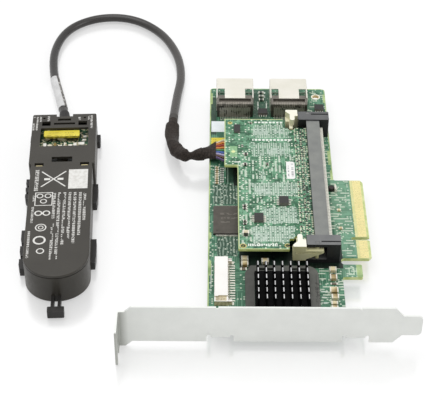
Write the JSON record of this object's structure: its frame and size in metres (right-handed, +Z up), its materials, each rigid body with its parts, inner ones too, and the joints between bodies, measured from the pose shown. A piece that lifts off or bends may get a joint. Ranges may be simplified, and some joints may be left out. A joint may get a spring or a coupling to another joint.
{
  "type": "raid controller card",
  "caption": "Storage controller card with a folded mounting bracket, a plug-in memory module held by pivoting latches, cable ports and a battery pack on a free cable.",
  "frame": {"origin": "on the surface it lies on, at the middle of the footprint of the card and battery pack", "axes": "+Z up from the surface, +Y from the bracket along the card to the cable ports, +X from the battery pack towards the edge connector"},
  "size_m": [0.1682, 0.2537, 0.021],
  "materials": {
    "board_green": "green solder mask, semi-gloss",
    "module_green": "blue-green solder mask, semi-gloss",
    "gold": "gold-plated pads",
    "bracket_steel": "zinc-plated, satin",
    "screw_steel": "plated",
    "tin": "tinned sheet, fairly bright",
    "brown_black_plastic": "brown-black moulded",
    "black_plastic": "black moulded",
    "cream_plastic": "cream moulded",
    "chip_black": "black epoxy",
    "black_aluminium": "black anodised",
    "grey_plastic": "grey moulded",
    "pad_grey": "soft thermal pad",
    "ceramic_tan": "ceramic body with tinned ends",
    "resistor_black": "black film with tinned ends",
    "ferrite": "dark ferrite",
    "paper_label": "blank label",
    "case_grey": "dark warm grey, fine grain",
    "cell_sleeve": "sleeved cell",
    "nickel": "nickel strip",
    "gauge_yellow": "yellow film",
    "cable_grey": "dark grey cable jacket",
    "sleeve_black": "dark tape sleeve",
    "wire_insulation": "several colours of insulation"
  },
  "bodies": {
    "card": {"bracket": "bracket_steel", "bracket_screws": "screw_steel", "left_port_cage": "tin", "right_port_cage": "tin", "left_port_housing": "brown_black_plastic", "right_port_housing": "brown_black_plastic", "left_port_contacts": "gold", "right_port_contacts": "gold", "main_board": "board_green", "edge_contacts": "gold", "hole_ring": "tin", "module_socket": "black_plastic", "socket_tails": "tin", "module_board": "module_green", "module_contacts": "gold", "module_memory_chips": "chip_black", "module_top_chips": "chip_black", "module_chip_leads": "tin", "module_passives": "ceramic_tan", "module_label": "paper_label", "wire_socket": "black_plastic", "wire_plug": "black_plastic", "controller_chip": "chip_black", "thermal_pad": "pad_grey", "heatsink": "black_aluminium", "heatsink_frame": "grey_plastic", "side_connector": "cream_plastic", "side_connector_pins": "tin", "flash_chip": "chip_black", "flash_leads": "tin", "driver_chips": "chip_black", "driver_leads": "tin", "ceramic_capacitors": "ceramic_tan", "chip_resistors": "resistor_black", "power_inductor": "ferrite", "board_labels": "paper_label", "battery_case_body": "case_grey", "battery_case_lid": "case_grey", "battery_cells": "cell_sleeve", "cell_straps": "nickel", "battery_board": "board_green", "battery_board_parts": "ceramic_tan", "battery_gauge_part": "gauge_yellow", "strain_relief": "sleeve_black", "cable_jacket": "cable_grey", "cable_label": "paper_label", "cable_sleeve": "sleeve_black", "sleeve_end": "sleeve_black", "harness_wires": "wire_insulation"},
    "near_latch": {"latch_near": "cream_plastic"},
    "far_latch": {"latch_far": "cream_plastic"}
  },
  "joints": [
    {"name": "near_latch_turn", "type": "hinge", "parent": "card", "child": "near_latch", "pos_m": [0.04515, -0.03509, 0.012], "axis": [0, 0, 1], "range_deg": [0, 32]},
    {"name": "far_latch_turn", "type": "hinge", "parent": "card", "child": "far_latch", "pos_m": [0.04515, 0.05611, 0.012], "axis": [0, 0, -1], "range_deg": [0, 32]}
  ]
}
